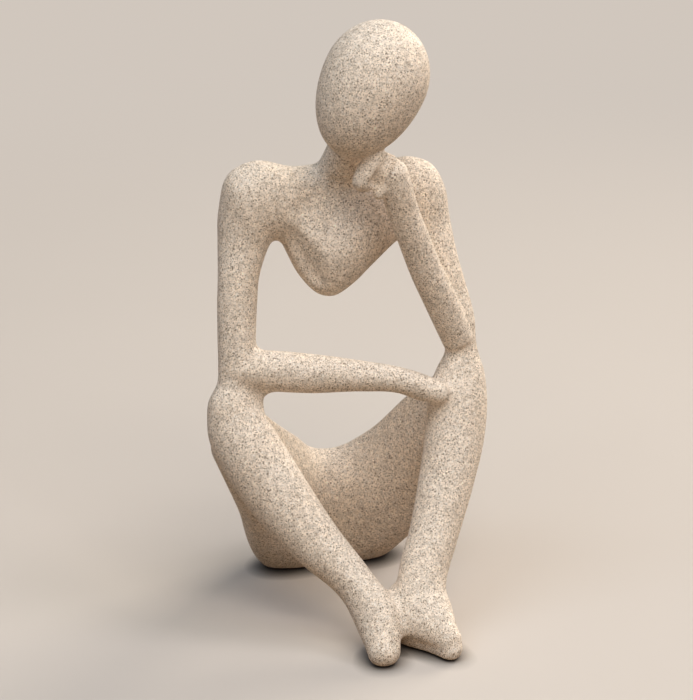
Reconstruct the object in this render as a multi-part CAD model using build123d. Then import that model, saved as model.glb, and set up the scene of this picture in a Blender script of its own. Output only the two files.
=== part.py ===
from build123d import *

import math
import os
from itertools import pairwise

# Seated figure in the thinking pose, cast in sandstone-finish resin, in millimetres with +Z up.
# The figure faces -Y, so its right arm and leg are on the -X side. Its open loops can't leave
# one mould, so it is seven castings pinned together on steel dowels, standing on felt pads.

# Frame of the skeleton, which every place along the limbs is a share of
SKELETON_WIDTH = 120.0
SKELETON_DEPTH = 140.0
SKELETON_HEIGHT = 260.0

# Head: an egg whose narrow end, the chin, points down and forward
HEAD_LENGTH = 59.6
HEAD_WIDTH = 44.3
CHIN_LENGTH = 34.8

# Chest, neck and arms
CHEST_THICKNESS = 27.0
SHOULDER_THICKNESS = 25.5
NECK_DIAMETER = 17.0
ARM_WIDTH = 17.2
ARM_THICKNESS = 17.0
RIGHT_FOREARM_WIDTH = 17.4
RIGHT_FOREARM_THICKNESS = 16.6
LEFT_FOREARM_WIDTH = 14.0
LEFT_FOREARM_THICKNESS = 14.0
HAND_WIDTH = 11.6
HAND_THICKNESS = 12.4
THUMB_DIAMETER = 5.4

# Hips and legs
ELBOW_SEAM_WIDTH = 14.4
ELBOW_SEAM_THICKNESS = 14.4
CALF_WIDTH = 27.4
CALF_THICKNESS = 26.0
LEFT_FOOT_WIDTH = 30.0
LEFT_FOOT_HEIGHT = 27.0
SEAT_THICKNESS = 36.0

# Steel dowels in blind holes
SHOULDER_DOWEL_DIAMETER = 6.0
SHOULDER_DOWEL_LENGTH = 28.0
ELBOW_DOWEL_DIAMETER = 5.0
ELBOW_DOWEL_LENGTH = 24.0
NECK_DOWEL_DIAMETER = 6.0
NECK_DOWEL_LENGTH = 24.0
KNEE_DOWEL_DIAMETER = 5.0
KNEE_DOWEL_LENGTH = 18.0
ANKLE_DOWEL_DIAMETER = 4.0
ANKLE_DOWEL_LENGTH = 15.0
HAND_PIN_DIAMETER = 3.0
HAND_PIN_LENGTH = 14.0
DOWEL_CLEARANCE = 0.1
DOWEL_END_CLEARANCE = 0.4

# Felt pads under the seat and the feet
PAD_THICKNESS = 1.0
SEAT_PAD_LENGTH = 44.0
SEAT_PAD_WIDTH = 20.0
FOOT_PAD_LENGTH = 9.0
FOOT_PAD_WIDTH = 7.0

# Sections and rounded ends of the limbs
RING_POINTS = 8
STEPS = 3
ELLIPSE = 2.0
FOOT_SQUARENESS = 1.8
TIP_SHARES = (0.45, 0.75, 0.93)
QUARTER_HANDLE_SHARE = 0.5523

# Limb rows: the section's centre as shares of the figure's width, depth and height, then its
# size across and through the limb as shares of that limb's own sizes
RIGHT_SHIN_SHARES = (
    (-0.013, -0.484, 0.022, 0.52, 0.50),
    (-0.008, -0.414, 0.056, 0.72, 0.70),
    (-0.068, -0.329, 0.107, 0.63, 0.73),
    (-0.180, -0.250, 0.165, 0.80, 0.86),
    (-0.295, -0.164, 0.236, 0.99, 0.98),
    (-0.382, -0.100, 0.305, 1.03, 1.00),
    (-0.438, -0.052, 0.366, 0.89, 0.90),
    (-0.441, -0.044, 0.393, 0.72, 0.74),
)
RIGHT_ELBOW_SHARES = (-0.433, -0.036, 0.412)
RIGHT_ARM_SHARES = (
    (-0.412, -0.021, 0.445, 0.95, 0.96),
    (-0.406, 0.000, 0.490, 0.96, 0.98),
    (-0.395, 0.029, 0.546, 1.00, 1.02),
    (-0.381, 0.057, 0.592, 1.04, 1.08),
)
LEFT_ARM_SHARES = (
    (0.354, 0.046, 0.591, 1.08, 1.08),
    (0.383, 0.016, 0.541, 1.02, 1.00),
    (0.409, -0.012, 0.492, 0.96, 0.96),
)
LEFT_ELBOW_SHARES = (0.422, -0.036, 0.440)
LEFT_SHIN_SHARES = (
    (0.418, -0.046, 0.413, 0.74, 0.74),
    (0.406, -0.060, 0.385, 0.90, 0.88),
    (0.378, -0.107, 0.313, 0.96, 0.98),
    (0.323, -0.171, 0.239, 0.88, 0.94),
    (0.245, -0.257, 0.162, 0.78, 0.84),
    (0.180, -0.329, 0.106, 0.78, 0.76),
    (0.152, -0.402, 0.062, 0.98, 0.66),
    (0.222, -0.490, 0.030, 0.44, 0.40),
)
RIGHT_FOREARM_SHARES = (
    (-0.402, -0.029, 0.445, 0.92, 0.94),
    (-0.325, -0.039, 0.441, 1.00, 1.00),
    (-0.162, -0.061, 0.432, 0.99, 0.98),
    (0.034, -0.086, 0.423, 0.77, 0.80),
    (0.168, -0.104, 0.413, 0.65, 0.72),
    (0.257, -0.118, 0.397, 0.66, 0.70),
    (0.305, -0.126, 0.389, 0.58, 0.62),
)
LEFT_FOREARM_SHARES = (
    (0.406, -0.046, 0.462, 0.98, 0.98),
    (0.329, -0.064, 0.541, 1.04, 1.04),
    (0.265, -0.079, 0.602, 1.00, 1.00),
    (0.220, -0.089, 0.654, 0.98, 0.98),
    (0.171, -0.100, 0.711, 0.96, 0.96),
    (0.144, -0.111, 0.754, 0.94, 0.96),
    (0.134, -0.114, 0.774, 0.88, 0.92),
)
HAND_SHARES = (
    (0.130, -0.114, 0.780, 1.08, 0.94),
    (0.075, -0.111, 0.786, 1.25, 1.00),
    (0.038, -0.111, 0.773, 0.96, 0.96),
    (0.024, -0.113, 0.765, 0.80, 0.82),
)
THUMB_SHARES = (
    (0.110, -0.118, 0.762, 1.00, 1.00),
    (0.088, -0.121, 0.750, 1.00, 1.00),
    (0.076, -0.122, 0.742, 0.85, 0.85),
)
NECK_SHARES = (
    (-0.010, 0.100, 0.725, 1.50, 1.30),
    (0.000, 0.078, 0.758, 1.12, 1.08),
    (0.012, 0.046, 0.790, 1.00, 1.00),
    (0.034, 0.004, 0.830, 1.00, 1.00),
)
LEFT_FOOT_SHARES = (
    (0.100, -0.336, 0.060, 0.96, 0.64),
    (0.150, -0.386, 0.047, 0.92, 0.64),
    (0.203, -0.446, 0.025, 0.60, 0.50),
    (0.228, -0.504, 0.016, 0.38, 0.35),
)

# Slice rows across the chest and shoulders: the low or inner end of the section and its high or
# outer end, each as x and z shares, then the depth share, the thickness as a share, and how far
# the low end stands forward as a share of the depth
RIGHT_SHOULDER_SHARES = (
    (-0.266, 0.628, -0.444, 0.648, 0.090, 0.86, 0.000),
    (-0.253, 0.637, -0.434, 0.696, 0.102, 0.96, 0.000),
    (-0.243, 0.640, -0.395, 0.756, 0.104, 1.00, 0.000),
    (-0.232, 0.641, -0.302, 0.775, 0.104, 1.00, 0.000),
)
RIGHT_SEAM_SHARES = (-0.214, 0.637, -0.185, 0.763, 0.104, 1.00, 0.000)
CHEST_SHARES = (
    (-0.152, 0.578, -0.118, 0.760, 0.110, 1.00, 0.032),
    (-0.092, 0.549, -0.060, 0.762, 0.114, 1.02, 0.064),
    (-0.040, 0.545, -0.010, 0.764, 0.117, 1.04, 0.080),
    (0.028, 0.559, 0.042, 0.764, 0.117, 1.02, 0.068),
    (0.109, 0.586, 0.104, 0.762, 0.112, 1.00, 0.036),
)
LEFT_SEAM_SHARES = (0.200, 0.617, 0.182, 0.758, 0.104, 1.00, 0.000)
LEFT_SHOULDER_SHARES = (
    (0.220, 0.623, 0.270, 0.763, 0.104, 1.00, 0.000),
    (0.234, 0.624, 0.352, 0.748, 0.104, 1.00, 0.000),
    (0.245, 0.622, 0.400, 0.708, 0.098, 0.94, 0.000),
    (0.254, 0.616, 0.412, 0.664, 0.086, 0.86, 0.000),
)
# Slice rows across the hips, from the right knee to the left: the place across, the low end and
# the high end as y and z shares, and the thickness as a share
HIP_SHARES = (
    (-0.383, 0.107, 0.208, 0.000, 0.378, 0.48),
    (-0.342, 0.200, 0.096, 0.028, 0.371, 0.78),
    (-0.258, 0.271, 0.008, 0.086, 0.313, 0.90),
    (-0.133, 0.307, -0.023, 0.175, 0.254, 1.00),
    (-0.042, 0.314, -0.031, 0.247, 0.213, 1.00),
    (0.050, 0.314, -0.031, 0.254, 0.208, 1.00),
    (0.158, 0.307, -0.023, 0.190, 0.246, 1.00),
    (0.267, 0.271, 0.012, 0.086, 0.326, 0.90),
    (0.346, 0.207, 0.077, 0.021, 0.380, 0.78),
    (0.387, 0.107, 0.205, 0.000, 0.388, 0.48),
)
HEAD_SHARES = (0.090, -0.043, 0.922)
HEAD_AXIS = Vector(0.563, 0.2, 1.0)

# The plane behind the knees that parts the hips from the lower legs
KNEE_SEAM_SHARE = 0.022

# Places of the dowels and pads that no section of a limb gives
NECK_DOWEL_SHARES = (0.027, 0.019, 0.816)
NECK_DOWEL_AXIS = Vector(0.22, -0.48, 0.85)
CHIN_PIN_SHARES = (0.065, -0.100, 0.809)
CHIN_PIN_AXIS = Vector(0.35, -0.34, -0.87)
HAND_PIN_SHARES = (0.325, -0.112, 0.384)
HAND_PIN_AXIS = Vector(0.93, 0.37, 0)
RIGHT_KNEE_DOWEL_SHARES = (-0.380, KNEE_SEAM_SHARE, 0.310)
LEFT_KNEE_DOWEL_SHARES = (0.370, KNEE_SEAM_SHARE, 0.321)
ANKLE_DOWEL_SHARES = (0.027, -0.363, 0.055)
ANKLE_DOWEL_AXIS = Vector(0.75, 0, -0.66)
SEAT_PAD_SHARES = (0.008, 0.307)
RIGHT_FOOT_PAD_SHARES = (-0.013, -0.468)
LEFT_FOOT_PAD_SHARES = (0.205, -0.452)

WIDTH_AXIS = Vector(1, 0, 0)
DEPTH_AXIS = Vector(0, 1, 0)
OUT = "parts"


def spot(x_share, y_share, z_share):
    """A point of the figure from shares of its width, depth and height."""
    return Vector(SKELETON_WIDTH * x_share, SKELETON_DEPTH * y_share, SKELETON_HEIGHT * z_share)


def limb_stations(rows, across, through):
    """Section centres along a limb with their full sizes; the section lies square to the limb."""
    return [(spot(*row[:3]), across * row[3], through * row[4]) for row in rows]


def slice_station(low, high, through):
    """A section given by the two ends of its long axis and its thickness."""
    return ((low + high) / 2, high - low, through)


def front_slices(rows, through):
    """Stations of sections across the chest and shoulders, whose low ends may stand forward."""
    return [
        slice_station(spot(row[0], row[4] - row[6], row[1]), spot(row[2], row[4], row[3]), through * row[5])
        for row in rows
    ]


def side_slices(rows, through):
    """Stations of sections whose planes are square to the figure's width."""
    return [
        slice_station(spot(row[0], row[1], row[2]), spot(row[0], row[3], row[4]), through * row[5])
        for row in rows
    ]


def run_at(points, i):
    """The direction of a row of points at one of them."""
    return (points[min(i + 1, len(points) - 1)] - points[max(i - 1, 0)]).normalized()


def with_vectors(stations):
    """The stations with each across size turned into a vector square to the limb's run."""
    centres = [station[0] for station in stations]
    made = []
    for i, (centre, across, through) in enumerate(stations):
        if not isinstance(across, Vector):
            across = run_at(centres, i).cross(DEPTH_AXIS).normalized() * across
        made.append((*tuple(centre), *tuple(across), through))
    return made


def curve_through(rows):
    """Rows of numbers with STEPS rows to each gap, on a cubic curve through the given ones."""
    spans = [math.dist(a[:3], b[:3]) for a, b in pairwise(rows)]
    rates = [[(q - p) / span for p, q in zip(a, b)] for (a, b), span in zip(pairwise(rows), spans)]
    slopes = [rates[0]]
    for (before, after), (near, far) in zip(pairwise(rates), pairwise(spans)):
        slopes.append([(p * far + q * near) / (near + far) for p, q in zip(before, after)])
    slopes.append(rates[-1])
    made = []
    for i, span in enumerate(spans):
        for step in range(STEPS):
            t = step / STEPS
            row = []
            for p, q, m, n in zip(rows[i], rows[i + 1], slopes[i], slopes[i + 1]):
                rise = q - p
                bend = 3 * rise - span * (2 * m + n)
                twist = span * (m + n) - 2 * rise
                row.append(p + t * (m * span + t * (bend + t * twist)))
            made.append(row)
    return made + [list(rows[-1])]


def ring(centre, across, through, run, squareness):
    """A closed oval section; squareness 2 is an ellipse, and less has crisper sides."""
    plane = Plane(origin=centre, x_dir=across, z_dir=across.cross(run.cross(across)))
    points = []
    for i in range(RING_POINTS):
        turn = 2 * math.pi * i / RING_POINTS
        x, y = math.cos(turn), math.sin(turn)
        swell = (abs(x) ** squareness + abs(y) ** squareness) ** (-1 / squareness) / 2
        points.append(plane.from_local_coords((across.length * x * swell, through * y * swell, 0)))
    return Wire([Edge.make_spline(points, periodic=True)])


class Chain:
    """A run of sections through stations, from which lofted solids are taken."""

    def __init__(self, stations, squareness=ELLIPSE, facing=None):
        self.rows = curve_through(with_vectors(stations))
        self.squareness = squareness
        self.centres = [Vector(*row[:3]) for row in self.rows]
        self.across = [Vector(*row[3:6]) for row in self.rows]
        self.runs = [facing or run_at(self.centres, i) for i in range(len(self.rows))]
        self.rings = [
            ring(self.centres[i], self.across[i], row[6], self.runs[i], squareness)
            for i, row in enumerate(self.rows)
        ]

    def tip(self, i, run):
        """Sections that close the chain in a round end beyond section i, and the end point."""
        across, through = self.across[i], self.rows[i][6]
        reach = min(across.length, through) / 2
        closing = []
        for share in TIP_SHARES:
            shrink = math.sqrt(1 - share * share)
            centre = self.centres[i] + run * (reach * share)
            closing.append(ring(centre, across * shrink, through * shrink, self.runs[i], self.squareness))
        return closing + [Vertex(self.centres[i] + run * reach)]

    def normal(self, station):
        """The direction square to the section at a station."""
        across, run = self.across[station * STEPS], self.runs[station * STEPS]
        return across.cross(run.cross(across)).normalized()

    def solid(self, first=0, last=None, start_tip=False, end_tip=False):
        """The limb from one station to another, lofted station by station, with any round ends."""
        low = first * STEPS
        high = len(self.rings) - 1 if last is None else last * STEPS
        runs = [self.rings[i : i + STEPS + 1] for i in range(low, high, STEPS)]
        if start_tip:
            runs.append([self.rings[low]] + self.tip(low, -self.runs[low]))
        if end_tip:
            runs.append([self.rings[high]] + self.tip(high, self.runs[high]))
        lofts = [Solid(Shell(Solid.make_loft(run).faces())) for run in runs]
        return lofts[0].fuse(*lofts[1:])


def head_egg():
    """The head: half an egg of two quarter ovals, revolved about its long axis."""
    half, crown, chin = HEAD_WIDTH / 2, HEAD_LENGTH - CHIN_LENGTH, CHIN_LENGTH
    bow = QUARTER_HANDLE_SHARE
    lower = Bezier((0, -chin), (bow * half, -chin), (half, -bow * chin), (half, 0))
    upper = Bezier((half, 0), (half, bow * crown), (bow * half, crown), (0, crown))
    profile = make_face([lower, upper, Line((0, crown), (0, -chin))])
    egg = revolve(Plane.XZ * profile, Axis.Z)
    return Plane(origin=spot(*HEAD_SHARES), x_dir=-DEPTH_AXIS, z_dir=HEAD_AXIS) * egg


def limb(rows, across, through, squareness=ELLIPSE, **tips):
    """A free limb, lofted through its rows of sections."""
    return Chain(limb_stations(rows, across, through), squareness).solid(**tips)


def largest(shape):
    """The casting itself out of a cut's result."""
    return max(shape.solids(), key=lambda solid: solid.volume)


def upper_body():
    """The arms, chest and lower legs as one run of sections, parted at the shoulders and elbows."""
    elbow = (ELBOW_SEAM_WIDTH, ELBOW_SEAM_THICKNESS)
    parts = [
        limb_stations(RIGHT_SHIN_SHARES, CALF_WIDTH, CALF_THICKNESS),
        [(spot(*RIGHT_ELBOW_SHARES), *elbow)] + limb_stations(RIGHT_ARM_SHARES, ARM_WIDTH, ARM_THICKNESS)
        + front_slices(RIGHT_SHOULDER_SHARES, SHOULDER_THICKNESS),
        front_slices([RIGHT_SEAM_SHARES], SHOULDER_THICKNESS) + front_slices(CHEST_SHARES, CHEST_THICKNESS),
        front_slices([LEFT_SEAM_SHARES] + list(LEFT_SHOULDER_SHARES), SHOULDER_THICKNESS)
        + limb_stations(LEFT_ARM_SHARES, ARM_WIDTH, ARM_THICKNESS),
        [(spot(*LEFT_ELBOW_SHARES), *elbow)] + limb_stations(LEFT_SHIN_SHARES, CALF_WIDTH, CALF_THICKNESS),
    ]
    seams = [sum(len(part) for part in parts[:i]) for i in range(1, len(parts))]
    return Chain(sum(parts, [])), seams


def castings(body, seams):
    """The seven castings, cut to meet each other, before their dowel holes."""
    right_elbow, right_shoulder, left_shoulder, left_elbow = seams
    knee_plane = Plane(origin=DEPTH_AXIS * (SKELETON_DEPTH * KNEE_SEAM_SHARE), z_dir=DEPTH_AXIS)
    ground = Plane.XY.offset(PAD_THICKNESS)
    head = head_egg()
    right_leg = split(body.solid(0, right_elbow, start_tip=True), ground, keep=Keep.TOP)
    left_foot = limb(
        LEFT_FOOT_SHARES, LEFT_FOOT_WIDTH, LEFT_FOOT_HEIGHT, FOOT_SQUARENESS, start_tip=True, end_tip=True
    )
    left_leg = split(body.solid(left_elbow, end_tip=True) + left_foot, ground, keep=Keep.TOP) - right_leg
    seat = Chain(side_slices(HIP_SHARES, SEAT_THICKNESS), facing=WIDTH_AXIS)
    seat = split(seat.solid(start_tip=True, end_tip=True), ground, keep=Keep.TOP)
    hips = split(seat, knee_plane, keep=Keep.TOP)
    thigh_ends = split(seat, knee_plane, keep=Keep.BOTTOM).solids()
    legs = []
    for leg, side in ((right_leg, min), (left_leg, max)):
        hips = hips + split(leg, knee_plane, keep=Keep.TOP)
        thigh_end = side(thigh_ends, key=lambda solid: solid.center().X)
        legs.append(largest(split(leg, knee_plane, keep=Keep.BOTTOM) + thigh_end))
    right_leg, left_leg = legs
    right_arm = body.solid(right_elbow, right_shoulder)
    right_arm = right_arm + limb(
        RIGHT_FOREARM_SHARES, RIGHT_FOREARM_WIDTH, RIGHT_FOREARM_THICKNESS, start_tip=True, end_tip=True
    )
    left_arm = body.solid(left_shoulder, left_elbow)
    left_arm = left_arm + limb(
        LEFT_FOREARM_SHARES, LEFT_FOREARM_WIDTH, LEFT_FOREARM_THICKNESS, end_tip=True
    )
    left_arm = left_arm + limb(HAND_SHARES, HAND_WIDTH, HAND_THICKNESS, end_tip=True)
    left_arm = left_arm + limb(THUMB_SHARES, THUMB_DIAMETER, THUMB_DIAMETER, end_tip=True)
    torso = body.solid(right_shoulder, left_shoulder) + limb(NECK_SHARES, NECK_DIAMETER, NECK_DIAMETER)
    return {
        "head": head,
        "torso": largest(torso - head),
        "right_arm": largest(right_arm - right_leg - left_leg),
        "left_arm": largest(left_arm - head - left_leg),
        "hips": largest(hips),
        "right_leg": right_leg,
        "left_leg": left_leg,
    }


def dowels(body, seams):
    """Each dowel's place, axis, diameter and length, with the two castings that it joins."""
    elbow = (ELBOW_DOWEL_DIAMETER, ELBOW_DOWEL_LENGTH)
    shoulder = (SHOULDER_DOWEL_DIAMETER, SHOULDER_DOWEL_LENGTH)
    knee = (KNEE_DOWEL_DIAMETER, KNEE_DOWEL_LENGTH)
    pin = (HAND_PIN_DIAMETER, HAND_PIN_LENGTH)
    neck = (NECK_DOWEL_DIAMETER, NECK_DOWEL_LENGTH)
    ankle = (ANKLE_DOWEL_DIAMETER, ANKLE_DOWEL_LENGTH)
    at_seams = [(body.centres[seam * STEPS], body.normal(seam)) for seam in seams]
    return {
        "right_elbow_dowel": (*at_seams[0], *elbow, "right_leg", "right_arm"),
        "right_shoulder_dowel": (*at_seams[1], *shoulder, "right_arm", "torso"),
        "left_shoulder_dowel": (*at_seams[2], *shoulder, "torso", "left_arm"),
        "left_elbow_dowel": (*at_seams[3], *elbow, "left_arm", "left_leg"),
        "neck_dowel": (spot(*NECK_DOWEL_SHARES), NECK_DOWEL_AXIS, *neck, "torso", "head"),
        "chin_pin": (spot(*CHIN_PIN_SHARES), CHIN_PIN_AXIS, *pin, "left_arm", "head"),
        "hand_pin": (spot(*HAND_PIN_SHARES), HAND_PIN_AXIS, *pin, "right_arm", "left_leg"),
        "right_knee_dowel": (spot(*RIGHT_KNEE_DOWEL_SHARES), DEPTH_AXIS, *knee, "right_leg", "hips"),
        "left_knee_dowel": (spot(*LEFT_KNEE_DOWEL_SHARES), DEPTH_AXIS, *knee, "left_leg", "hips"),
        "ankle_dowel": (spot(*ANKLE_DOWEL_SHARES), ANKLE_DOWEL_AXIS, *ankle, "right_leg", "left_leg"),
    }


def rod(centre, axis, diameter, length):
    """A round rod centred on a point."""
    return Plane(origin=centre, z_dir=axis) * Cylinder(diameter / 2, length)


def pad(shares, length, width):
    """An oval felt pad on the ground, cut to the shares of the figure's width and depth."""
    outline = Ellipse(length / 2, width / 2)
    return Pos(SKELETON_WIDTH * shares[0], SKELETON_DEPTH * shares[1], 0) * extrude(outline, PAD_THICKNESS)


def main():
    os.makedirs(OUT, exist_ok=True)
    body, seams = upper_body()
    parts = castings(body, seams)
    for name, (centre, axis, diameter, length, one, other) in dowels(body, seams).items():
        parts[name] = rod(centre, axis, diameter, length)
        hole = rod(centre, axis, diameter + 2 * DOWEL_CLEARANCE, length + 2 * DOWEL_END_CLEARANCE)
        parts[one] = parts[one] - hole
        parts[other] = parts[other] - hole
    parts["seat_pad"] = pad(SEAT_PAD_SHARES, SEAT_PAD_LENGTH, SEAT_PAD_WIDTH)
    parts["right_foot_pad"] = pad(RIGHT_FOOT_PAD_SHARES, FOOT_PAD_WIDTH, FOOT_PAD_LENGTH)
    parts["left_foot_pad"] = pad(LEFT_FOOT_PAD_SHARES, FOOT_PAD_WIDTH, FOOT_PAD_LENGTH)
    whole = Compound(children=[largest(part) for part in parts.values()]).bounding_box()
    middle = whole.center()
    to_origin = Pos(-middle.X, -middle.Y, 0)
    for name, part in parts.items():
        export_step(to_origin * largest(part), os.path.join(OUT, name + ".step"))


main()
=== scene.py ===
"""Seated figure in the thinking pose, cast in sandstone-finish resin. Metres, +Z up, facing -Y."""
import math

import bmesh
import bpy
import numpy as np
import openvdb
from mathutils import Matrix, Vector
from mathutils.bvhtree import BVHTree


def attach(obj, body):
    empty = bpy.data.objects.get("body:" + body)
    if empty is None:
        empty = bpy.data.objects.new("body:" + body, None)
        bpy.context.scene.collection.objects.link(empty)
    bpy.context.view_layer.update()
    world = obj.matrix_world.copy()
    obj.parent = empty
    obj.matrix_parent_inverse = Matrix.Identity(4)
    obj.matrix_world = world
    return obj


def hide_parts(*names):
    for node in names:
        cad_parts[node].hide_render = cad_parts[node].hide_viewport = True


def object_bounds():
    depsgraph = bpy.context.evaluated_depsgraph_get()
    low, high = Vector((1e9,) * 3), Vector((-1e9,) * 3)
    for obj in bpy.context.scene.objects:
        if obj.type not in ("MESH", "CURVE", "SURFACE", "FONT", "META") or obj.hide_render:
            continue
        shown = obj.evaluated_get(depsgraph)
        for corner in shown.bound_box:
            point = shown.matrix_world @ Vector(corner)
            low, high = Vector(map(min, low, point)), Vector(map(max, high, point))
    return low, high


# The photograph's view
IMAGE_HEIGHT = 700
VIEW_AZIMUTH = math.radians(-15.0)
VIEW_ELEVATION = math.radians(21.0)
VIEW_DISTANCE = 1.0
VIEW_TARGET = Vector((0.0017, 0.0084, 0.118))
FOCAL_PIXELS = 2300.0
SENSOR_HEIGHT = 36.0
CLIP_START = 0.05

# Noises in the materials are given as scale per metre, detail and roughness
# Grains are given as cells per metre, share of bare cells, least radius, range of radii and soft rim
GRAIN_INPUTS = ("Spacing per Metre", "Share Bare", "Least Radius", "Radius Range", "Soft Rim")

# Sandstone: the ground, its light flecks and its brown specks of two sizes
GROUND_COLOURS = ((0.850, 0.760, 0.670), (0.790, 0.670, 0.550))
CLOUDS = (60.0, 3.0, 0.55)
MOTTLE = (420.0, 2.0, 0.5)
SAND = (1600.0, 3.0, 0.65)
SAND_CONTRAST = 1.90
SAND_OFFSET = 0.42
FLECKS = (1000.0, 0.40, 0.28, 0.24, 0.16)
FLECK_COLOUR = (0.960, 0.900, 0.830)
FLECK_COVER = 0.75
FINE_SPECKS = (1500.0, 0.30, 0.30, 0.26, 0.12)
FINE_COLOURS = ((0.215, 0.142, 0.088), (0.480, 0.360, 0.245))
FINE_COVER = 0.80
COARSE_SPECKS = (900.0, 0.60, 0.24, 0.16, 0.08)
COARSE_COLOURS = ((0.115, 0.078, 0.049), (0.245, 0.182, 0.127))
COARSE_COVER = 0.90
STONE_ROUGHNESS = 0.52
STONE_ROUGHNESS_RANGE = 0.16
STONE_SPECULAR = 0.32
PIT_DEPTH = 0.5
STONE_BUMP = 0.22
STONE_BUMP_HEIGHT = 0.00012

# Steel of the dowels
STEEL_CLOUDS = (900.0, 4.0, 0.6)
STEEL_COLOURS = ((0.52, 0.52, 0.53), (0.68, 0.68, 0.69))
STEEL_ROUGHNESS = 0.28
STEEL_ROUGHNESS_RANGE = 0.2

# Felt of the pads
FIBRES = (2600.0, 5.0, 0.7)
FELT_COLOURS = ((0.020, 0.018, 0.016), (0.060, 0.055, 0.050))
PALE_FIBRES = (1600.0, 0.75, 0.10, 0.20, 0.12)
PALE_COLOUR = (0.110, 0.100, 0.092)
FELT_ROUGHNESS = 0.95
FELT_SHEEN = 0.4
FELT_BUMP = 0.5
FELT_BUMP_HEIGHT = 0.0002

# Background paper: its two tones, its tone for indirect light, and the painted contact shadow that
# darkens it close to the figure
PAPER_COLOUR = (0.630, 0.580, 0.540)
PAPER_SHADE = (0.612, 0.563, 0.523)
PAPER_BOUNCE = (0.240, 0.165, 0.100)
PAPER_TOOTH = (6.0, 2.0, 0.5)
PAPER_ROUGHNESS = 0.95
PAPER_SPECULAR = 0.1
PAINTED_SHADOW_REACH = 0.008
PAINTED_SHADOW_DEPTH = 1.3
PAINTED_SHADOW_SAMPLES = 16

# The even backdrop that the paper fades into, and the size of the floor
BACKDROP_COLOUR = (0.635, 0.570, 0.510)
FADE_START = 0.25
FADE_END = 0.95
FLOOR_RADIUS = 6.0
FLOOR_SEGMENTS = 96

# Light: an even fill, and soft boxes with their place, size, power and colour
FILL_COLOUR = (1.0, 0.97, 0.92)
FILL_STRENGTH = 0.02
SOFT_BOXES = (
    ("top_box", (0.18, -0.46, 2.79), 2.2, 16.5, (0.92, 0.99, 1.0)),
    ("front_box", (0.18, -1.63, 2.43), 1.6, 36.0, (1.0, 0.88, 0.74)),
    ("left_box", (-1.35, -0.46, 2.34), 1.6, 18.0, (0.76, 0.87, 1.0)),
    ("right_box", (1.35, -0.46, 2.34), 0.7, 12.0, (1.0, 0.96, 0.98)),
    ("edge_box", (1.89, 1.16, 1.17), 1.3, 44.0, (1.0, 0.90, 0.76)),
    ("low_box", (1.62, -2.17, 1.62), 1.4, 9.0, (0.76, 0.87, 1.0)),
    ("side_box", (-1.44, -2.35, 1.35), 1.8, 9.0, (1.0, 0.94, 0.86)),
)

# Skin of the castings: the grid, and how far the hollow corners between limbs are filled
SKIN_VOXEL = 0.0007
SPARE_VOXELS = 4
FIELD_MARGIN = 0.010
SOFT_BLEND = 0.0030
CRISP_BLEND = 0.0008
FULL_BLEND = 0.0070
HEAD_BLEND = 0.0006
SMOOTHING_ROUNDS = 5
SMOOTHING_OUT = 0.50
SMOOTHING_BACK = -0.53
SEAM_ROUNDS = 4
MOST_FOREIGN_EDGES = 2
LEAST_LENGTH = 1e-12

# Places where the filling is crisper or fuller: a run of places, the reach of the zone and its filling
BLEND_ZONES = {
    "fist": (
        ((0.018, -0.008, 0.206), (0.002, -0.008, 0.199)),
        0.028,
        CRISP_BLEND,
    ),
    "left forearm on the upper arm": (
        ((0.0500, 0.004, 0.128), (0.0300, 0.006, 0.178)),
        0.017,
        CRISP_BLEND,
    ),
    "right fingers on the left knee": (
        ((0.0330, -0.010, 0.103), (0.0420, -0.010, 0.100)),
        0.013,
        CRISP_BLEND,
    ),
    "right thigh behind the knee": (
        ((-0.0500, 0.020, 0.060), (-0.0480, 0.016, 0.095)),
        0.030,
        FULL_BLEND,
    ),
    "left thigh behind the knee": (
        ((0.0520, 0.020, 0.060), (0.0500, 0.016, 0.095)),
        0.030,
        FULL_BLEND,
    ),
}

# Planes that are pared flat: a run of places on the plane, the way it faces and the reach
PARED_PLANES = {
    "front of the chest": (
        ((-0.0050, 0.0046, 0.1660), (-0.0050, 0.0090, 0.1780)),
        (-0.10, -0.93, 0.34),
        0.020,
    ),
    "flank of the chest": (
        ((-0.0140, 0.0075, 0.1684), (-0.0080, 0.0056, 0.1576)),
        (-0.66, -0.70, -0.25),
        0.014,
    ),
}
PARED_EDGE = 0.0012

# Creases that are carved in, as a run of places on the surface with the width and the depth
CARVED_CREASES = {
    "under the wrist": (
        (
            (0.0150, -0.0108, 0.2085),
            (0.0124, -0.0122, 0.2050),
            (0.0104, -0.0120, 0.2018),
            (0.0093, -0.0112, 0.1994),
        ),
        0.0021,
        0.0075,
    ),
    "on the right shoulder": (
        ((-0.0215, 0.0160, 0.1968), (-0.0180, 0.0170, 0.1957), (-0.0145, 0.0177, 0.1949)),
        0.0010,
        0.0010,
    ),
}
CREASE_REACH_WIDTHS = 3

# Flanks that are melted smooth, as a run of places with the reach and the rounds of melting
MELTED_FLANKS = {
    "right thigh": (((-0.0520, 0.022, 0.055), (-0.0520, 0.016, 0.085)), 0.024, 50),
    "left thigh": (((0.0550, 0.022, 0.055), (0.0550, 0.016, 0.085)), 0.024, 50),
}

# Stone that is added on, as a run of places with its radius
ADDED_STONE = {
    "edge of the right thigh": (((-0.0490, 0.0092, 0.0776), (-0.0263, 0.0342, 0.0230)), 0.010),
}

CASTINGS = ("head", "torso", "right_arm", "left_arm", "hips", "right_leg", "left_leg")
BODY_CASTINGS = CASTINGS[1:]
DOWELS = (
    "neck_dowel",
    "chin_pin",
    "right_shoulder_dowel",
    "left_shoulder_dowel",
    "right_elbow_dowel",
    "left_elbow_dowel",
    "hand_pin",
    "right_knee_dowel",
    "left_knee_dowel",
    "ankle_dowel",
)
HEAD_DOWELS = ("neck_dowel", "chin_pin")
PADS = ("seat_pad", "right_foot_pad", "left_foot_pad")


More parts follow.
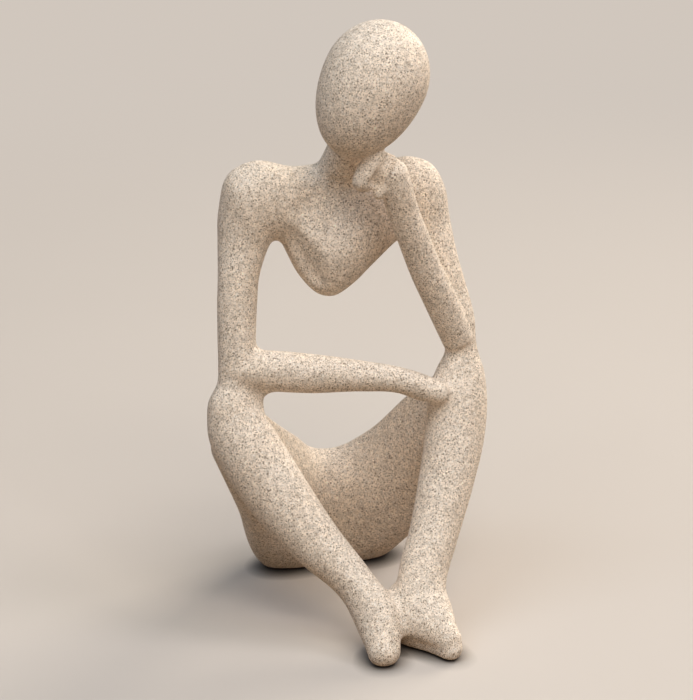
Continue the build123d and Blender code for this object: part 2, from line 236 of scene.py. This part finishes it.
def solid_arrays(names, nodes):
    """Points and triangles of several solids in one list, and which solid each triangle is from."""
    points, triangles, owners, start = [], [], [], 0
    for owner, name in enumerate(names):
        mesh = nodes[name].data
        mesh.calc_loop_triangles()
        own_points = np.empty(len(mesh.vertices) * 3, np.float32)
        own_triangles = np.empty(len(mesh.loop_triangles) * 3, np.int32)
        mesh.vertices.foreach_get("co", own_points)
        mesh.loop_triangles.foreach_get("vertices", own_triangles)
        points.append(own_points.reshape(-1, 3))
        triangles.append(own_triangles.reshape(-1, 3) + start)
        owners.append(np.full(len(mesh.loop_triangles), owner))
        start += len(mesh.vertices)
    return np.concatenate(points), np.concatenate(triangles), np.concatenate(owners)


def level_set(points, reach, triangles=None, quads=None):
    """Distances from a closed mesh in a band of some reach along its surface."""
    return openvdb.FloatGrid.createLevelSetFromPolygons(
        points,
        triangles=triangles,
        quads=quads,
        transform=openvdb.createLinearTransform(voxelSize=SKIN_VOXEL),
        halfWidth=reach / SKIN_VOXEL + SPARE_VOXELS,
    )


def softened(values):
    """A block of distances with each voxel averaged with its neighbours along each side."""
    for axis in range(3):
        rows = np.moveaxis(values, axis, 0)
        made = rows.copy()
        made[1:-1] = rows[1:-1] / 2 + (rows[:-2] + rows[2:]) / 4
        values = np.moveaxis(made, 0, axis)
    return values


def fading(distance, reach):
    """A share of 1 up to half of the reach that falls evenly to 0 at the reach."""
    return np.clip(2 - 2 * distance / reach, 0, 1)


def eased(share):
    """A share that leaves 0 and meets 1 gently."""
    return share * share * (3 - 2 * share)


def rounded_least(first, second, blend):
    """The lesser of two distances, with a fillet where they cross."""
    overlap = np.maximum(blend - np.abs(first - second), 0) / blend
    return np.minimum(first, second) - overlap * overlap * blend / 4


class StoneField:
    """Distances from the figure's surface on a block of voxels, as clay to fill and carve."""

    def __init__(self, low, high):
        self.corner = tuple(math.floor((side - FIELD_MARGIN) / SKIN_VOXEL) for side in low)
        far = [math.ceil((side + FIELD_MARGIN) / SKIN_VOXEL) for side in high]
        self.shape = tuple(end - start for start, end in zip(self.corner, far))
        self.values = None

    def block(self, grid):
        """A band's distances on every voxel of the block."""
        values = np.empty(self.shape, np.float32)
        grid.copyToArray(values, ijk=self.corner)
        return values

    def closed(self, points, triangles, radius):
        """Distances from solids whose hollow corners are filled to a radius."""
        grown = level_set(points, radius, triangles=triangles)
        grown_points, grown_quads = grown.convertToQuads(isovalue=radius)
        return self.block(level_set(grown_points, radius, quads=grown_quads)) + np.float32(radius)

    def near(self, run, reach):
        """The part of the block near a run of places, its voxels and their distances to the run."""
        places = np.array(run)
        first = np.floor((places.min(axis=0) - reach) / SKIN_VOXEL).astype(int) - self.corner
        last = np.ceil((places.max(axis=0) + reach) / SKIN_VOXEL).astype(int) - self.corner
        first, last = np.maximum(first, 0), np.minimum(last, self.shape)
        sides = [np.arange(a, b) + corner for a, b, corner in zip(first, last, self.corner)]
        voxels = np.stack(np.meshgrid(*sides, indexing="ij"), axis=-1) * SKIN_VOXEL
        distance = np.full(voxels.shape[:3], np.inf)
        for start, end in zip(places[:-1], places[1:]):
            along = end - start
            share = np.clip((voxels - start) @ along / (along @ along), 0, 1)
            offsets = voxels - start - share[..., None] * along
            distance = np.minimum(distance, np.linalg.norm(offsets, axis=-1))
        return tuple(slice(a, b) for a, b in zip(first, last)), voxels, distance

    def refill(self, other, run, reach):
        """Takes another filling's distances along a run of places, fading out at its reach."""
        part, _, distance = self.near(run, reach)
        share = eased(fading(distance, reach))
        self.values[part] += share * (other[part] - self.values[part])

    def melt(self, run, reach, rounds):
        """Averages the stone along a run of places for some rounds, fading out at its reach."""
        part, _, distance = self.near(run, reach)
        melted = self.values[part]
        for _ in range(rounds):
            melted = softened(melted)
        self.values[part] += fading(distance, reach) * (melted - self.values[part])

    def pare(self, run, facing, reach):
        """Cuts the surface back to a plane along a run of places, fading out at its reach."""
        part, voxels, distance = self.near(run, reach)
        facing = np.array(facing)
        plane = (voxels - np.array(run[0])) @ (facing / np.linalg.norm(facing))
        held = self.values[part]
        pared = -rounded_least(-held, -plane, PARED_EDGE)
        self.values[part] += eased(fading(distance, reach)) * (pared - held)

    def carve(self, run, width, depth):
        """Sinks the surface along a run of places."""
        part, _, distance = self.near(run, CREASE_REACH_WIDTHS * width)
        self.values[part] += depth * np.exp(-((distance / width) ** 2))

    def heap(self, run, radius):
        """Adds a round ridge of stone along a run of places."""
        part, _, distance = self.near(run, radius + FIELD_MARGIN)
        self.values[part] = rounded_least(self.values[part], distance - radius, SOFT_BLEND)

    def join(self, other, blend):
        """Joins another solid on, with a small fillet along the join."""
        self.values = rounded_least(self.values, other, blend)

    def surface(self):
        """The figure's surface as points and quads."""
        grid = openvdb.FloatGrid(FIELD_MARGIN)
        grid.transform = openvdb.createLinearTransform(voxelSize=SKIN_VOXEL)
        grid.copyFromArray(np.ascontiguousarray(self.values, np.float32), ijk=self.corner)
        points, quads = grid.convertToQuads(isovalue=0.0)
        return points, quads[:, ::-1].astype(np.int64)


def smoothed(points, quads):
    """The points after rounds of smoothing that keep the volume."""
    edges = np.concatenate([quads[:, (corner, (corner + 1) % 4)] for corner in range(4)])
    counts = np.bincount(edges.ravel(), minlength=len(points))
    points = points.astype(np.float64)
    for step in range(2 * SMOOTHING_ROUNDS):
        sums = np.zeros_like(points)
        for axis in range(3):
            sums[:, axis] += np.bincount(edges[:, 0], points[edges[:, 1], axis], len(points))
            sums[:, axis] += np.bincount(edges[:, 1], points[edges[:, 0], axis], len(points))
        rate = SMOOTHING_BACK if step % 2 else SMOOTHING_OUT
        points += rate * (sums / counts[:, None] - points)
    return points


def point_normals(points, quads):
    """Smooth normals of the whole skin, so that no casting shows its edge."""
    corners = points[quads]
    across = np.cross(corners[:, 2] - corners[:, 0], corners[:, 3] - corners[:, 1])
    normals = np.zeros_like(points)
    for corner in range(4):
        for axis in range(3):
            normals[:, axis] += np.bincount(quads[:, corner], across[:, axis], len(points))
    lengths = np.linalg.norm(normals, axis=1, keepdims=True)
    return normals / np.maximum(lengths, LEAST_LENGTH)


def edge_ends(quads):
    """The two points of each edge of each quad, the lower first."""
    ends = np.stack([quads, np.roll(quads, -1, axis=1)], axis=-1)
    return np.sort(ends, axis=-1).reshape(-1, 2)


def quads_across_edges(quads):
    """Which quad is across each edge of each quad."""
    ends = edge_ends(quads)
    order = np.lexsort((ends[:, 1], ends[:, 0]))
    same = np.all(ends[order[:-1]] == ends[order[1:]], axis=1)
    across = np.arange(len(ends)) // 4
    across[order[:-1][same]] = order[1:][same] // 4
    across[order[1:][same]] = order[:-1][same] // 4
    return across.reshape(-1, 4)


def casting_of_each(points, quads, nodes):
    """Which casting each quad of the skin belongs to: the nearest, with ragged seams evened out."""
    solid_points, triangles, owners = solid_arrays(CASTINGS, nodes)
    tree = BVHTree.FromPolygons(solid_points.tolist(), triangles.tolist())
    centres = points[quads].mean(axis=1)
    nearest = np.array([owners[tree.find_nearest(Vector(centre))[2]] for centre in centres])
    for _ in range(SEAM_ROUNDS):
        votes = np.zeros((len(points), len(CASTINGS)))
        for corner in range(4):
            np.add.at(votes, (quads[:, corner], nearest), 1)
        nearest = votes[quads].sum(axis=1).argmax(axis=1)
    across = quads_across_edges(quads)
    for _ in range(SEAM_ROUNDS):
        foreign = nearest[across] != nearest[:, None]
        lone = foreign.sum(axis=1) > MOST_FOREIGN_EDGES
        nearest[lone] = nearest[across[lone, foreign[lone].argmax(axis=1)]]
    return nearest


def split_at_corners(quads):
    """The quads as faces, with each quad at a corner of the rim split, so that no cap folds onto it."""
    _, edges, uses = np.unique(edge_ends(quads), axis=0, return_inverse=True, return_counts=True)
    on_rim = (uses[edges.ravel()] == 1).reshape(-1, 4)
    at_corner = on_rim & np.roll(on_rim, 1, axis=1)
    cornered = at_corner.any(axis=1)
    turns = (at_corner.argmax(axis=1)[:, None] + np.arange(4)) % 4
    turned = np.take_along_axis(quads, turns, axis=1)[cornered]
    return quads[~cornered].tolist() + turned[:, :3].tolist() + turned[:, (0, 2, 3)].tolist()


def casting_piece(name, points, quads, normals):
    """One casting's share of the skin as a closed mesh: its seams are closed inside the figure."""
    used, faces = np.unique(quads, return_inverse=True)
    mesh = bpy.data.meshes.new(name + "_skin")
    mesh.from_pydata(points[used].tolist(), [], split_at_corners(faces.reshape(-1, 4)))
    shell = bmesh.new()
    shell.from_mesh(mesh)
    for face in shell.faces:
        face.smooth = True
    rims = [edge for edge in shell.edges if edge.is_boundary]
    caps = bmesh.ops.holes_fill(shell, edges=rims, sides=0)["faces"]
    for face in bmesh.ops.triangulate(shell, faces=caps)["faces"]:
        face.smooth = False
    shell.to_mesh(mesh)
    shell.free()
    corner_points = np.empty(len(mesh.loops), np.int32)
    mesh.loops.foreach_get("vertex_index", corner_points)
    corner_normals = normals[used][corner_points]
    for face in mesh.polygons:
        if not face.use_smooth:
            corner_normals[face.loop_start : face.loop_start + 3] = face.normal
    mesh.normals_split_custom_set(corner_normals.tolist())
    piece = bpy.data.objects.new(name + "_casting", mesh)
    bpy.context.scene.collection.objects.link(piece)
    return piece


def cast_figure(nodes, low, high):
    """The figure's castings with their hollow corners blended, as the real ones are sculpted."""
    stone = StoneField(low, high)
    body_points, body_triangles, _ = solid_arrays(BODY_CASTINGS + DOWELS, nodes)
    head_points, head_triangles, _ = solid_arrays(("head",) + HEAD_DOWELS, nodes)
    stone.values = stone.closed(body_points, body_triangles, SOFT_BLEND)
    for blend in (CRISP_BLEND, FULL_BLEND):
        filled = stone.closed(body_points, body_triangles, blend)
        for run, reach, zone_blend in BLEND_ZONES.values():
            if zone_blend == blend:
                stone.refill(filled, run, reach)
    for run, facing, reach in PARED_PLANES.values():
        stone.pare(run, facing, reach)
    for run, width, depth in CARVED_CREASES.values():
        stone.carve(run, width, depth)
    stone.join(stone.closed(head_points, head_triangles, CRISP_BLEND), HEAD_BLEND)
    for run, reach, rounds in MELTED_FLANKS.values():
        stone.melt(run, reach, rounds)
    for run, radius in ADDED_STONE.values():
        stone.heap(run, radius)
    stone.values = softened(stone.values)
    points, quads = stone.surface()
    points = smoothed(points, quads)
    normals = point_normals(points, quads)
    nearest = casting_of_each(points, quads, nodes)
    return {
        name: casting_piece(name, points, quads[nearest == owner], normals)
        for owner, name in enumerate(CASTINGS)
    }


def feed(tree, value, socket):
    """Feeds a socket with another node's output, a number or a colour."""
    if isinstance(value, bpy.types.NodeSocket):
        tree.links.new(value, socket)
    elif isinstance(value, tuple):
        socket.default_value = (*value, 1.0)
    else:
        socket.default_value = value


def new_material(name):
    """A node material with its tree, its shader, and the place on the object as an output."""
    material = bpy.data.materials.new(name)
    material.use_nodes = True
    tree = material.node_tree
    place = tree.nodes.new("ShaderNodeTexCoord").outputs["Object"]
    return material, tree, tree.nodes["Principled BSDF"], place


def add_math(tree, operation, *values, clamp=False):
    """A Math node on numbers or outputs."""
    node = tree.nodes.new("ShaderNodeMath")
    node.operation = operation
    node.use_clamp = clamp
    for slot, value in enumerate(values):
        feed(tree, value, node.inputs[slot])
    return node.outputs["Value"]


def add_mix(tree, factor, first, second, blend="MIX"):
    """A Mix node for colours, whose three sockets are found by number as their names repeat."""
    node = tree.nodes.new("ShaderNodeMix")
    node.data_type = "RGBA"
    node.blend_type = blend
    for slot, value in ((0, factor), (6, first), (7, second)):
        feed(tree, value, node.inputs[slot])
    return node.outputs[2]


def add_noise(tree, place, noise):
    """A Noise texture's value at a place."""
    node = tree.nodes.new("ShaderNodeTexNoise")
    for label, value in zip(("Scale", "Detail", "Roughness"), noise):
        feed(tree, value, node.inputs[label])
    feed(tree, place, node.inputs["Vector"])
    return node.outputs["Fac"]


def add_bump(tree, shader, height, strength, distance):
    """A relief on a shader's surface."""
    node = tree.nodes.new("ShaderNodeBump")
    feed(tree, strength, node.inputs["Strength"])
    feed(tree, distance, node.inputs["Distance"])
    feed(tree, height, node.inputs["Height"])
    feed(tree, node.outputs["Normal"], shader.inputs["Normal"])


def grain_group():
    """Specks of one size: a mask of round grains, and a random tone for each grain."""
    group = bpy.data.node_groups.new("Scattered grains", "ShaderNodeTree")
    group.interface.new_socket(name="Place", in_out="INPUT", socket_type="NodeSocketVector")
    for label in GRAIN_INPUTS:
        group.interface.new_socket(name=label, in_out="INPUT", socket_type="NodeSocketFloat")
    for label in ("Mask", "Tone"):
        group.interface.new_socket(name=label, in_out="OUTPUT", socket_type="NodeSocketFloat")
    start = group.nodes.new("NodeGroupInput").outputs
    end = group.nodes.new("NodeGroupOutput").inputs
    cells = group.nodes.new("ShaderNodeTexVoronoi")
    cells.feature = "F1"
    feed(group, start["Place"], cells.inputs["Vector"])
    feed(group, start["Spacing per Metre"], cells.inputs["Scale"])
    tones = group.nodes.new("ShaderNodeSeparateColor")
    feed(group, cells.outputs["Color"], tones.inputs["Color"])
    spread = add_math(group, "MULTIPLY", tones.outputs["Red"], start["Radius Range"])
    radius = add_math(group, "ADD", spread, start["Least Radius"])
    inside = add_math(group, "SUBTRACT", radius, cells.outputs["Distance"])
    rim = add_math(group, "DIVIDE", inside, start["Soft Rim"], clamp=True)
    there = add_math(group, "GREATER_THAN", tones.outputs["Green"], start["Share Bare"])
    feed(group, add_math(group, "MULTIPLY", rim, there), end["Mask"])
    feed(group, tones.outputs["Blue"], end["Tone"])
    return group


def add_grains(tree, group, place, values):
    """One scatter of grains in a material: its mask and tone."""
    node = tree.nodes.new("ShaderNodeGroup")
    node.node_tree = group
    feed(tree, place, node.inputs["Place"])
    for label, value in zip(GRAIN_INPUTS, values):
        feed(tree, value, node.inputs[label])
    return node.outputs["Mask"], node.outputs["Tone"]


def sandstone(grains):
    """Cream resin full of stone powder: an uneven pale ground, light flecks, and brown specks."""
    material, tree, shader, place = new_material("sandstone_resin")
    sand = add_noise(tree, place, SAND)
    uneven = add_math(tree, "MULTIPLY_ADD", sand, SAND_CONTRAST, add_noise(tree, place, MOTTLE))
    shade = add_math(tree, "SUBTRACT", uneven, SAND_OFFSET)
    ground = add_mix(tree, add_noise(tree, place, CLOUDS), *GROUND_COLOURS)
    ground = add_mix(tree, 1.0, ground, shade, "MULTIPLY")
    flecks, _ = add_grains(tree, grains, place, FLECKS)
    fine, fine_tone = add_grains(tree, grains, place, FINE_SPECKS)
    coarse, coarse_tone = add_grains(tree, grains, place, COARSE_SPECKS)
    colour = add_mix(tree, add_math(tree, "MULTIPLY", flecks, FLECK_COVER), ground, FLECK_COLOUR)
    fine_colour = add_mix(tree, fine_tone, *FINE_COLOURS)
    colour = add_mix(tree, add_math(tree, "MULTIPLY", fine, FINE_COVER), colour, fine_colour)
    coarse_colour = add_mix(tree, coarse_tone, *COARSE_COLOURS)
    colour = add_mix(tree, add_math(tree, "MULTIPLY", coarse, COARSE_COVER), colour, coarse_colour)
    feed(tree, colour, shader.inputs["Base Color"])
    rough = add_math(tree, "MULTIPLY_ADD", sand, STONE_ROUGHNESS_RANGE, STONE_ROUGHNESS)
    feed(tree, rough, shader.inputs["Roughness"])
    feed(tree, STONE_SPECULAR, shader.inputs["Specular IOR Level"])
    pits = add_math(tree, "SUBTRACT", sand, add_math(tree, "MULTIPLY", coarse, PIT_DEPTH))
    add_bump(tree, shader, pits, STONE_BUMP, STONE_BUMP_HEIGHT)
    return material


def turned_steel():
    """Plain steel rod with a slightly cloudy surface."""
    material, tree, shader, place = new_material("dowel_steel")
    clouds = add_noise(tree, place, STEEL_CLOUDS)
    feed(tree, add_mix(tree, clouds, *STEEL_COLOURS), shader.inputs["Base Color"])
    rough = add_math(tree, "MULTIPLY_ADD", clouds, STEEL_ROUGHNESS_RANGE, STEEL_ROUGHNESS)
    feed(tree, rough, shader.inputs["Roughness"])
    feed(tree, 1.0, shader.inputs["Metallic"])
    return material


def pad_felt(grains):
    """Dark pressed felt: matted fibres with a few pale ones."""
    material, tree, shader, place = new_material("pad_felt")
    fibres = add_noise(tree, place, FIBRES)
    pale, tone = add_grains(tree, grains, place, PALE_FIBRES)
    colour = add_mix(tree, fibres, *FELT_COLOURS)
    colour = add_mix(tree, add_math(tree, "MULTIPLY", pale, tone), colour, PALE_COLOUR)
    feed(tree, colour, shader.inputs["Base Color"])
    feed(tree, FELT_ROUGHNESS, shader.inputs["Roughness"])
    feed(tree, FELT_SHEEN, shader.inputs["Sheen Weight"])
    add_bump(tree, shader, fibres, FELT_BUMP, FELT_BUMP_HEIGHT)
    return material


def seen_directly(tree):
    """A value of 1 for what the camera sees, also in gloss and through glass."""
    path = tree.nodes.new("ShaderNodeLightPath").outputs
    direct = add_math(tree, "MAXIMUM", path["Is Camera Ray"], path["Is Glossy Ray"])
    return add_math(tree, "MAXIMUM", direct, path["Is Transmission Ray"])


def show_mixed(tree, share, first, second, end):
    """Shows two shaders on a material or world, the second by its share."""
    node = tree.nodes.new("ShaderNodeMixShader")
    for slot, value in enumerate((share, first, second)):
        feed(tree, value, node.inputs[slot])
    feed(tree, node.outputs["Shader"], tree.nodes[end].inputs["Surface"])


def studio_paper():
    """Matt grey-beige background paper with a painted contact shadow near the figure, fading into an
    even backdrop away from the figure.
    """
    material, tree, shader, place = new_material("studio_paper")
    direct = seen_directly(tree)
    # Painted contact shadow: the paper's colour is darkened by how much of the sky each place sees
    # within a short reach of the figure.
    painted_shadow = tree.nodes.new("ShaderNodeAmbientOcclusion")
    painted_shadow.samples = PAINTED_SHADOW_SAMPLES
    feed(tree, PAINTED_SHADOW_REACH, painted_shadow.inputs["Distance"])
    painted_shadow_factor = add_math(tree, "POWER", painted_shadow.outputs["AO"], PAINTED_SHADOW_DEPTH)
    paper = add_mix(tree, add_noise(tree, place, PAPER_TOOTH), PAPER_COLOUR, PAPER_SHADE)
    paper = add_mix(tree, 1.0, paper, painted_shadow_factor, "MULTIPLY")
    feed(tree, add_mix(tree, direct, PAPER_BOUNCE, paper), shader.inputs["Base Color"])
    feed(tree, PAPER_ROUGHNESS, shader.inputs["Roughness"])
    feed(tree, PAPER_SPECULAR, shader.inputs["Specular IOR Level"])
    backdrop = tree.nodes.new("ShaderNodeEmission")
    feed(tree, BACKDROP_COLOUR, backdrop.inputs["Color"])
    away = tree.nodes.new("ShaderNodeVectorMath")
    away.operation = "LENGTH"
    feed(tree, place, away.inputs[0])
    fade = tree.nodes.new("ShaderNodeMapRange")
    fade.interpolation_type = "SMOOTHSTEP"
    feed(tree, FADE_START, fade.inputs["From Min"])
    feed(tree, FADE_END, fade.inputs["From Max"])
    feed(tree, away.outputs["Value"], fade.inputs["Value"])
    share = add_math(tree, "MULTIPLY", fade.outputs["Result"], direct)
    show_mixed(tree, share, shader.outputs["BSDF"], backdrop.outputs["Emission"], "Material Output")
    return material


def studio_floor(material):
    """A wide round floor."""
    disc = bmesh.new()
    bmesh.ops.create_circle(disc, cap_ends=True, segments=FLOOR_SEGMENTS, radius=FLOOR_RADIUS)
    mesh = bpy.data.meshes.new("studio_floor")
    disc.to_mesh(mesh)
    disc.free()
    mesh.materials.append(material)
    floor = bpy.data.objects.new("studio_floor", mesh)
    bpy.context.scene.collection.objects.link(floor)


def aimed(item, place, target):
    """Puts a camera or lamp at a place, looking at a target."""
    item.location = place
    item.rotation_euler = (target - Vector(place)).to_track_quat("-Z", "Y").to_euler()
    bpy.context.scene.collection.objects.link(item)


def photo_camera():
    """The camera where the photograph was taken."""
    data = bpy.data.cameras.new("photo_camera")
    data.sensor_fit = "VERTICAL"
    data.sensor_height = SENSOR_HEIGHT
    data.lens = FOCAL_PIXELS / IMAGE_HEIGHT * SENSOR_HEIGHT
    data.clip_start = CLIP_START
    flat = math.cos(VIEW_ELEVATION)
    way = Vector(
        (math.sin(VIEW_AZIMUTH) * flat, -math.cos(VIEW_AZIMUTH) * flat, math.sin(VIEW_ELEVATION))
    )
    camera = bpy.data.objects.new("photo_camera", data)
    aimed(camera, VIEW_TARGET + way * VIEW_DISTANCE, VIEW_TARGET)
    bpy.context.scene.camera = camera


def soft_lamp(name, place, size, power, colour):
    """A square soft box aimed at the figure."""
    data = bpy.data.lights.new(name, "AREA")
    data.shape = "SQUARE"
    data.size = size
    data.energy = power
    data.color = colour
    aimed(bpy.data.objects.new(name, data), place, VIEW_TARGET)


def studio_light():
    """Soft boxes, an even fill, and the backdrop where the camera sees past the floor."""
    for box in SOFT_BOXES:
        soft_lamp(*box)
    world = bpy.data.worlds.new("studio_fill")
    world.use_nodes = True
    tree = world.node_tree
    fill = tree.nodes["Background"]
    feed(tree, FILL_COLOUR, fill.inputs["Color"])
    feed(tree, FILL_STRENGTH, fill.inputs["Strength"])
    backdrop = tree.nodes.new("ShaderNodeBackground")
    feed(tree, BACKDROP_COLOUR, backdrop.inputs["Color"])
    shown = fill.outputs["Background"], backdrop.outputs["Background"]
    show_mixed(tree, seen_directly(tree), *shown, "World Output")
    bpy.context.scene.world = world


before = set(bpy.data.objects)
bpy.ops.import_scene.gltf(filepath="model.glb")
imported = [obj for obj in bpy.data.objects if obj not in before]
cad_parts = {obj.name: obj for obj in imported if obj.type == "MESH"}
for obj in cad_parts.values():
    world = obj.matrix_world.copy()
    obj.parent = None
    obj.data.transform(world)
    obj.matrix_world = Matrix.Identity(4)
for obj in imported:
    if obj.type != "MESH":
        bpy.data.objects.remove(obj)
cad_low, cad_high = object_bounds()
bpy.context.scene.view_settings.view_transform = "Standard"

grains = grain_group()
stone = sandstone(grains)
steel = turned_steel()
felt = pad_felt(grains)

for name, piece in cast_figure(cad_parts, cad_low, cad_high).items():
    piece.data.materials.append(stone)
    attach(piece, "root")
    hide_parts(name)
for names, material in ((DOWELS, steel), (PADS, felt)):
    for name in names:
        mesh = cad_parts[name].data
        mesh.materials.clear()
        mesh.materials.append(material)

studio_floor(studio_paper())
photo_camera()
studio_light()
